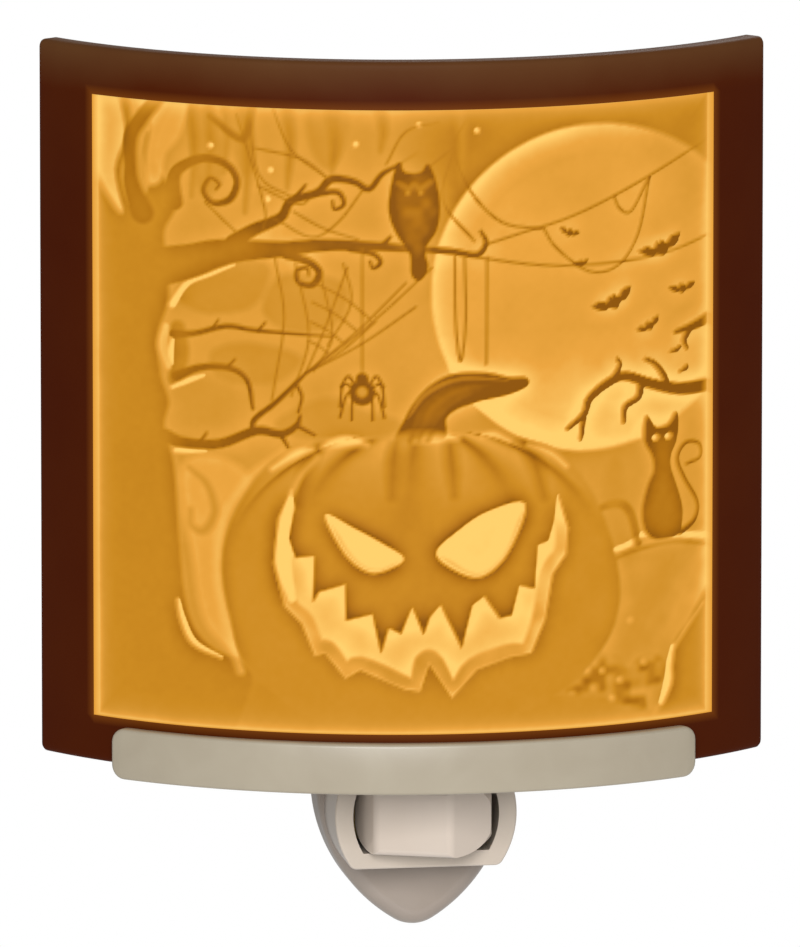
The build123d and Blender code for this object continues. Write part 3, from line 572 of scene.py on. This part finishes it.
crown_lights = [
    [(1.4, 45.4, 0.4), (4.4, 46, 1.6), (8, 45.7, 0.5)],
    [(-12.6, 44.3, 0.4), (-9.4, 45.2, 1.4), (-6, 44.8, 0.4)],
    [(12, 46, 0.3), (14, 46, 0.9), (16, 45, 0.3)],
    [(19, 44.2, 0.3), (22.6, 42.8, 0.9), (25, 40.6, 0.3)],
    [(-20.6, 40.6, 0.4), (-17, 43, 1.0), (-14.4, 43.8, 0.3)],
]
for line in crown_lights:
    lay(stroke(line, 1.3), 0.16, 0.85)
stem = fill([(-1.4, 45), (-0.3, 48.4), (1.5, 51.5), (4, 54), (7.6, 55.6), (12.5, 55.6), (16, 54.8),
             (18.6, 54.6), (18.8, 53.4), (16, 52.2), (11.6, 51.3), (8, 50.2), (6.2, 48.6),
             (5.8, 45.4)], 0.5)
lay(stem * np.clip((pz - 45) / 2.5, 0, 1), 0.88)
for shift in (-1.6, -0.4, 1.0):
    lay(stroke([(2.4 + shift, 45.4, 0.8), (4.4 + shift, 50 - shift * 0.7, 0.7),
                (9, 53 - shift, 0.6), (17, 53.6 - shift * 0.3, 0.3)], 0.9) * stem, 0.84, 0.5)
lay(stroke([(0.4, 49, 0.3), (3, 52.6, 0.8), (7.5, 54.8, 0.8), (13, 54.8, 0.5), (17.6, 54, 0.3)],
           0.5), 0.66, 0.7)

# its eyes and its grin, cut right through and brightest of all
eyes = [fill([(-12.4, 33.7), (-8, 31.8), (-3.5, 29.4), (-0.4, 27.3), (-2, 25.8), (-5.6, 25),
              (-9.4, 27.8)], 0.5),
        fill([(18.5, 35.1), (12.6, 34.1), (8, 31.2), (4.8, 28.1), (7, 25.6), (11.5, 24.1),
              (15.8, 27.6)], 0.5)]
for eye in eyes:
    lay(eye, 0.02)
lay(eyes[0] * thread(1.0, [(-12, 33), (-8.4, 27.2), (-4.6, 25.2), (-0.6, 26.8)], 0.9), 0.26)
lay(eyes[1] * thread(1.0, [(18.4, 34), (15.4, 27.2), (11, 24.4), (5.2, 27.4)], 0.9), 0.26)
lip = [(-17.6, 37.6), (-19.6, 33), (-20.3, 26), (-18.6, 19.4), (-16, 16.8), (-14, 12),
       (-12.4, 12.4),
       (-9.3, 8.6), (-7, 9.9), (0, 6.9), (2.2, 6.6), (3.6, 11), (7.2, 5.6), (11, 9.8), (16, 11.5),
       (19.5, 12), (21.6, 17), (22.8, 24), (24.9, 27), (25.2, 31), (23.7, 36.2)]
teeth = [(23.2, 32.4), (22.2, 29.2), (20.6, 28.6), (20.1, 21.9), (17.7, 22.5), (16.5, 17.9),
         (14.6, 17.6),
         (12.2, 21), (10.4, 19.7), (8.7, 13.2), (5.4, 19.8), (3.8, 18), (2.8, 15.4), (1, 19.4),
         (-0.7, 15.5), (-2.6, 16.3), (-3.8, 12.6), (-5.2, 18.4), (-9.2, 17.5), (-9.4, 23),
         (-13.4, 21.8), (-14.3, 20.3), (-14.2, 27.3), (-17, 27), (-18.1, 30), (-17.2, 34.6)]
grin = fill(lip + teeth, 0.5, sharp=True)
lay(grin, 0.17 + 0.05 * patches(4, 14))
lay(grin * thread(3.8, lip, 0.7),
    0.31 + 0.12 * np.clip((19 - pz) / 8, 0, 1) + 0.08 * patches(2.5, 10))
lay(grin * stroke([(-17.8, 36, 0.5), (-18.8, 31, 1.6), (-18.9, 26, 2.2), (-17.6, 20.6, 1.0)], 0.7),
    0.04)
lay(thread(1.0, [(-17.6, 37), (-16, 40), (-13.6, 42.6)], 0.8), 0.42, 0.7)

# sharper carving, thinner ware along the field's edge, and a fine grain
soft_copy = thick.reshape(cells_up + 1, cells_across + 1)
for axis in (0, 1, 0, 1):
    soft_copy = sum(np.roll(soft_copy, shift, axis) for shift in range(-4, 5)) / 9
thick += 1.25 * (thick - soft_copy.ravel())
edge = np.minimum(np.minimum(field_arc - abs(arcs), pz), field_height - pz)
thick *= 1 - 0.80 * np.exp(-np.clip(edge, 0, None) / 1.2)
thick += 0.012 * patches(1.1, 11) + 0.008 * patches(0.6, 12)
thick = np.clip(thick, 0, 1)

relief_depth = 0.9
for v, arc, height, t in zip(carving, arcs, pz, thick):
    v.co = (arc, field_recess + relief_depth * (1 - t), height + field_low)
    v[kept] = t
for f in {f for v in carving for f in v.link_faces}:
    f.material_index = 1
walls = bmesh.ops.bridge_loops(tile, edges=[e for e in tile.edges if e.is_boundary])["faces"]
for f in walls:
    f.material_index = 1
    for e in f.edges:
        e.smooth = len({round(v.co.y, 4) > 0.01 for v in e.verts}) > 1
bmesh.ops.recalc_face_normals(tile, faces=tile.faces[:])
bend_to_tray(tile, lambda v: v.co.y)

porcelain = bpy.data.materials.new("glowing_porcelain")
porcelain.use_nodes = True
tree = porcelain.node_tree
shader = tree.nodes["Principled BSDF"]
carved = tree.nodes.new("ShaderNodeAttribute")
carved.attribute_name = "thickness"
ambers = tree.nodes.new("ShaderNodeValToRGB")
tones = ((0.0, (0.982, 0.631, 0.162)), (0.32, (0.791, 0.376, 0.053)), (0.5, (0.655, 0.306, 0.032)),
         (0.65, (0.585, 0.258, 0.015)), (0.86, (0.425, 0.163, 0.0046)),
         (1.0, (0.262, 0.092, 0.0022)))
ambers.color_ramp.elements[1].position = tones[-1][0]
for spot, colour in tones[1:-1]:
    ambers.color_ramp.elements.new(spot)
for stop, (spot, colour) in zip(ambers.color_ramp.elements, tones):
    stop.position = spot
    stop.color = (*colour, 1)
tree.links.new(carved.outputs["Fac"], ambers.inputs["Fac"])
tree.links.new(ambers.outputs["Color"], shader.inputs["Emission Color"])
unlit = tree.nodes.new("ShaderNodeMix")
unlit.data_type = "RGBA"
unlit.blend_type = "MULTIPLY"
unlit.inputs[0].default_value = 1.0
unlit.inputs[7].default_value = (0.13, 0.10, 0.06, 1)
tree.links.new(ambers.outputs["Color"], unlit.inputs[6])
tree.links.new(unlit.outputs[2], shader.inputs["Base Color"])
shader.inputs["Emission Strength"].default_value = 0.84
shader.inputs["Roughness"].default_value = 0.6
shader.inputs["Specular IOR Level"].default_value = 0.04
panel = add_piece("porcelain_panel", tile, "panel", biscuit)
panel.data.materials.append(porcelain)
panel.data.materials.append(back_face)
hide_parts("lithophane_panel")

# ------------------------------------------------------------------ the tray
# Moulded in cream plastic with a satin skin: a curved lip before the tile's foot, a floor
# under it and a low lip behind. An arm under the floor ends in a sleeve on the socket.


def moulded(name, pale, deep, roughness, grain=0.05):
    """Satin moulded plastic: faint flow marks in its colour, and a fine spark-eroded skin."""
    material = bpy.data.materials.new(name)
    material.use_nodes = True
    tree = material.node_tree
    shader = tree.nodes["Principled BSDF"]
    place = tree.nodes.new("ShaderNodeTexCoord")
    flow = tree.nodes.new("ShaderNodeTexNoise")
    flow.inputs["Scale"].default_value = 90.0
    flow.inputs["Detail"].default_value = 5.0
    flow.inputs["Distortion"].default_value = 0.6
    tones = tree.nodes.new("ShaderNodeValToRGB")
    tones.color_ramp.elements[0].position = 0.32
    tones.color_ramp.elements[0].color = (*deep, 1)
    tones.color_ramp.elements[1].position = 0.68
    tones.color_ramp.elements[1].color = (*pale, 1)
    skin = tree.nodes.new("ShaderNodeTexNoise")
    skin.inputs["Scale"].default_value = 2600.0
    skin.inputs["Detail"].default_value = 2.0
    bump = tree.nodes.new("ShaderNodeBump")
    bump.inputs["Strength"].default_value = grain
    bump.inputs["Distance"].default_value = 0.0001
    sheen = tree.nodes.new("ShaderNodeMapRange")
    sheen.inputs["To Min"].default_value = roughness - 0.06
    sheen.inputs["To Max"].default_value = roughness + 0.06
    tree.links.new(place.outputs["Object"], flow.inputs["Vector"])
    tree.links.new(place.outputs["Object"], skin.inputs["Vector"])
    tree.links.new(flow.outputs["Fac"], tones.inputs["Fac"])
    tree.links.new(flow.outputs["Fac"], sheen.inputs["Value"])
    tree.links.new(skin.outputs["Fac"], bump.inputs["Height"])
    tree.links.new(tones.outputs["Color"], shader.inputs["Base Color"])
    tree.links.new(sheen.outputs["Result"], shader.inputs["Roughness"])
    tree.links.new(bump.outputs["Normal"], shader.inputs["Normal"])
    return material


def dress(material, *names):
    """Gives CAD nodes a material."""
    for name in names:
        nodes[name].data.materials.clear()
        nodes[name].data.materials.append(material)


def slab(mesh, x, y, z, corner, edge):
    """A box between two ends along each axis, its four front corners and its edges rounded."""
    middle = [(a + b) / 2 for a, b in (x, y, z)]
    size = [b - a for a, b in (x, y, z)]
    verts = bmesh.ops.create_cube(mesh, size=1,
                                  matrix=Matrix.LocRotScale(middle, None, size))["verts"]
    own = {e for v in verts for e in v.link_edges}
    if corner:
        through = [e for e in mesh.edges
                   if e in own and abs(e.verts[0].co.y - e.verts[1].co.y) > size[1] / 2]
        bmesh.ops.bevel(mesh, geom=through, offset=corner, affect="EDGES", segments=6,
                        profile=0.5, material=-1)
    faces = [f for f in mesh.faces if not f.tag]
    rims = {e for f in faces for e in f.edges if e.calc_face_angle(0) > 1.0}
    bmesh.ops.bevel(mesh, geom=[e for e in mesh.edges if e in rims], offset=edge,
                    affect="EDGES", segments=3, profile=0.5, material=-1)
    for f in mesh.faces:
        f.tag = True


cream = moulded("cream_plastic", (0.272, 0.236, 0.174), (0.248, 0.212, 0.154), 0.40)
tray_radius = tile_radius + 0.35 + 2.2
lip_arc = tile_radius * math.asin(45.0 / tray_radius)
channel_arc = lip_arc - 2.2
tray = bmesh.new()
slab(tray, (-lip_arc, lip_arc), (-2.55, -0.35), (-1.8, 6.1), 2.2, 0.55)
slab(tray, (-channel_arc, channel_arc), (-1.5, 5.75), (-1.8, 0.0), 0, 0.25)
slab(tray, (-channel_arc, channel_arc), (3.95, 5.75), (-1.6, 4.2), 0, 0.4)
for i in range(-38, 39):
    bmesh.ops.bisect_plane(tray, geom=tray.verts[:] + tray.edges[:] + tray.faces[:], dist=1e-5,
                           plane_co=(lip_arc * i / 38.5, 0, 0), plane_no=(1, 0, 0))
bend_to_tray(tray, lambda v: v.co.y)
tray_piece = add_piece("tray_channel", tray, "tray", cream, 40)
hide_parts("panel_tray")
dress(cream, "tray_arm")

# ------------------------------------------------------------------ the lamp's housing
# Two shells of a greyer cream plastic, screwed together from behind: a shield-shaped body
# and, in one moulding with its front half, a round collar that frames the switch.
putty = moulded("putty_plastic", (0.392, 0.337, 0.282), (0.370, 0.315, 0.260), 0.30)
tree = putty.node_tree
# Painted shade: the shell is multiplied darker from 12.5 mm in front of the origin backwards, fully
# from 9.5 mm. This darkens the shield behind the collar and under the tray, where they shade it.
split = tree.nodes.new("ShaderNodeSeparateXYZ")
tree.links.new(tree.nodes["Texture Coordinate"].outputs["Object"], split.inputs["Vector"])
painted_shade_depth = tree.nodes.new("ShaderNodeMapRange")
painted_shade_depth.inputs["From Min"].default_value = -0.0125
painted_shade_depth.inputs["From Max"].default_value = -0.0095
tree.links.new(split.outputs["Y"], painted_shade_depth.inputs["Value"])
film_and_painted_shade = tree.nodes.new("ShaderNodeMix")
film_and_painted_shade.data_type = "RGBA"
film_and_painted_shade.blend_type = "MULTIPLY"
film_and_painted_shade.inputs[7].default_value = (0.58, 0.56, 0.56, 1)
tree.links.new(painted_shade_depth.outputs["Result"], film_and_painted_shade.inputs[0])
tree.links.new(tree.nodes["Color Ramp"].outputs["Color"], film_and_painted_shade.inputs[6])
tree.links.new(film_and_painted_shade.outputs[2], tree.nodes["Principled BSDF"].inputs["Base Color"])
dress(putty, "front_shell", "rear_shell")

# ------------------------------------------------------------------ the switch
# A wide rocker moulded in the same plastic, a little paler, polished where thumbs press it.
# It tips left and right on an upright steel pin, and a brass bridge on its tail closes it.
thumb_worn = moulded("thumb_worn_plastic", (0.432, 0.368, 0.313), (0.418, 0.354, 0.299), 0.22, 0.03)
dress(thumb_worn, "rocker_switch")

# ------------------------------------------------------------------ the plug
# A turning disc of harder, darker plastic carries two plated brass blades.
hard_grey = moulded("hard_plastic", (0.360, 0.310, 0.260), (0.330, 0.280, 0.230), 0.34)
dress(hard_grey, "plug_disc")


def metal(name, pale, deep, roughness, stretch):
    """Drawn or stamped metal: streaks along the way it was worked, with a dulled film."""
    material = bpy.data.materials.new(name)
    material.use_nodes = True
    tree = material.node_tree
    shader = tree.nodes["Principled BSDF"]
    place = tree.nodes.new("ShaderNodeTexCoord")
    squeeze = tree.nodes.new("ShaderNodeMapping")
    squeeze.inputs["Scale"].default_value = stretch
    streak = tree.nodes.new("ShaderNodeTexNoise")
    streak.inputs["Scale"].default_value = 900.0
    streak.inputs["Detail"].default_value = 4.0
    film_and_painted_shade = tree.nodes.new("ShaderNodeTexNoise")
    film_and_painted_shade.inputs["Scale"].default_value = 160.0
    film_and_painted_shade.inputs["Detail"].default_value = 5.0
    tones = tree.nodes.new("ShaderNodeValToRGB")
    tones.color_ramp.elements[0].position = 0.35
    tones.color_ramp.elements[0].color = (*deep, 1)
    tones.color_ramp.elements[1].position = 0.62
    tones.color_ramp.elements[1].color = (*pale, 1)
    dull = tree.nodes.new("ShaderNodeMapRange")
    dull.inputs["To Min"].default_value = roughness - 0.08
    dull.inputs["To Max"].default_value = roughness + 0.14
    bump = tree.nodes.new("ShaderNodeBump")
    bump.inputs["Strength"].default_value = 0.12
    bump.inputs["Distance"].default_value = 0.00005
    tree.links.new(place.outputs["Object"], squeeze.inputs["Vector"])
    tree.links.new(squeeze.outputs["Vector"], streak.inputs["Vector"])
    tree.links.new(place.outputs["Object"], film_and_painted_shade.inputs["Vector"])
    tree.links.new(film_and_painted_shade.outputs["Fac"], tones.inputs["Fac"])
    tree.links.new(streak.outputs["Fac"], dull.inputs["Value"])
    tree.links.new(streak.outputs["Fac"], bump.inputs["Height"])
    tree.links.new(tones.outputs["Color"], shader.inputs["Base Color"])
    tree.links.new(dull.outputs["Result"], shader.inputs["Roughness"])
    tree.links.new(bump.outputs["Normal"], shader.inputs["Normal"])
    shader.inputs["Metallic"].default_value = 1.0
    return material


dress(metal("plated_blades", (0.72, 0.66, 0.50), (0.60, 0.53, 0.38), 0.30, (1, 0.08, 1)),
      "line_blade", "neutral_blade")

# ------------------------------------------------------------------ brass inside the housing
# Strips, rings and the socket's threaded shell, stamped from thin brass sheet.
dress(metal("sheet_brass", (0.74, 0.54, 0.24), (0.56, 0.38, 0.14), 0.28, (1, 1, 0.15)),
      "line_slip_ring", "neutral_slip_ring", "centre_contact", "neutral_strip", "line_strip",
      "socket_screw_shell", "rocker_contact")

# ------------------------------------------------------------------ screws and pin
# Zinc-plated steel: two self-tapping screws in the back, and the pin the rocker turns on.
dress(metal("zinc_plate", (0.62, 0.62, 0.60), (0.48, 0.48, 0.46), 0.32, (1, 1, 1)),
      "housing_screws", "rocker_pin")

# ------------------------------------------------------------------ the socket
# A pale moulded barrel that stands up through the housing's top, where the tray turns on it.
bone = moulded("bone_plastic", (0.66, 0.61, 0.52), (0.60, 0.54, 0.45), 0.46)
dress(bone, "socket_barrel")

# ------------------------------------------------------------------ the bulb
# A small clear blown bulb: a brass screw cap with a black glass foot and a soldered tip,
# and inside the glass a stem, two lead wires and a short glowing coil.
dress(metal("cap_brass", (0.78, 0.66, 0.40), (0.62, 0.50, 0.27), 0.24, (1, 1, 0.2)), "bulb_cap")
dress(metal("solder", (0.62, 0.62, 0.61), (0.45, 0.45, 0.45), 0.42, (1, 1, 1)), "bulb_tip_contact")
dress(metal("nickel_wire", (0.52, 0.49, 0.44), (0.38, 0.35, 0.31), 0.36, (1, 1, 0.2)),
      "bulb_lead_wires")
dress(moulded("black_glass", (0.018, 0.018, 0.020), (0.010, 0.010, 0.012), 0.14), "bulb_insulator")


def blown_glass(name, roughness, tint):
    """Thin clear glass with faint drawn waves in its surface."""
    material = bpy.data.materials.new(name)
    material.use_nodes = True
    tree = material.node_tree
    shader = tree.nodes["Principled BSDF"]
    place = tree.nodes.new("ShaderNodeTexCoord")
    waves = tree.nodes.new("ShaderNodeTexNoise")
    waves.inputs["Scale"].default_value = 240.0
    waves.inputs["Detail"].default_value = 3.0
    tree.links.new(place.outputs["Object"], waves.inputs["Vector"])
    bump = tree.nodes.new("ShaderNodeBump")
    bump.inputs["Strength"].default_value = 0.08
    bump.inputs["Distance"].default_value = 0.0001
    tree.links.new(waves.outputs["Fac"], bump.inputs["Height"])
    tree.links.new(bump.outputs["Normal"], shader.inputs["Normal"])
    shader.inputs["Base Color"].default_value = (*tint, 1)
    shader.inputs["Roughness"].default_value = roughness
    shader.inputs["Transmission Weight"].default_value = 1.0
    shader.inputs["IOR"].default_value = 1.46
    return material


dress(blown_glass("clear_bulb_glass", 0.03, (0.99, 0.97, 0.93)), "bulb_envelope")
dress(blown_glass("stem_glass", 0.10, (0.94, 0.96, 0.94)), "bulb_stem")

coil = bpy.data.materials.new("glowing_tungsten")
coil.use_nodes = True
tree = coil.node_tree
shader = tree.nodes["Principled BSDF"]
place = tree.nodes.new("ShaderNodeTexCoord")
turns = tree.nodes.new("ShaderNodeTexWave")
turns.wave_type = "BANDS"
turns.bands_direction = "X"
turns.inputs["Scale"].default_value = 700.0
tree.links.new(place.outputs["Object"], turns.inputs["Vector"])
heat = tree.nodes.new("ShaderNodeValToRGB")
heat.color_ramp.elements[0].color = (1.0, 0.42, 0.10, 1)
heat.color_ramp.elements[1].color = (1.0, 0.80, 0.42, 1)
tree.links.new(turns.outputs["Fac"], heat.inputs["Fac"])
tree.links.new(heat.outputs["Color"], shader.inputs["Emission Color"])
shader.inputs["Emission Strength"].default_value = 12.0
shader.inputs["Base Color"].default_value = (0.20, 0.17, 0.14, 1)
dress(coil, "bulb_filament")
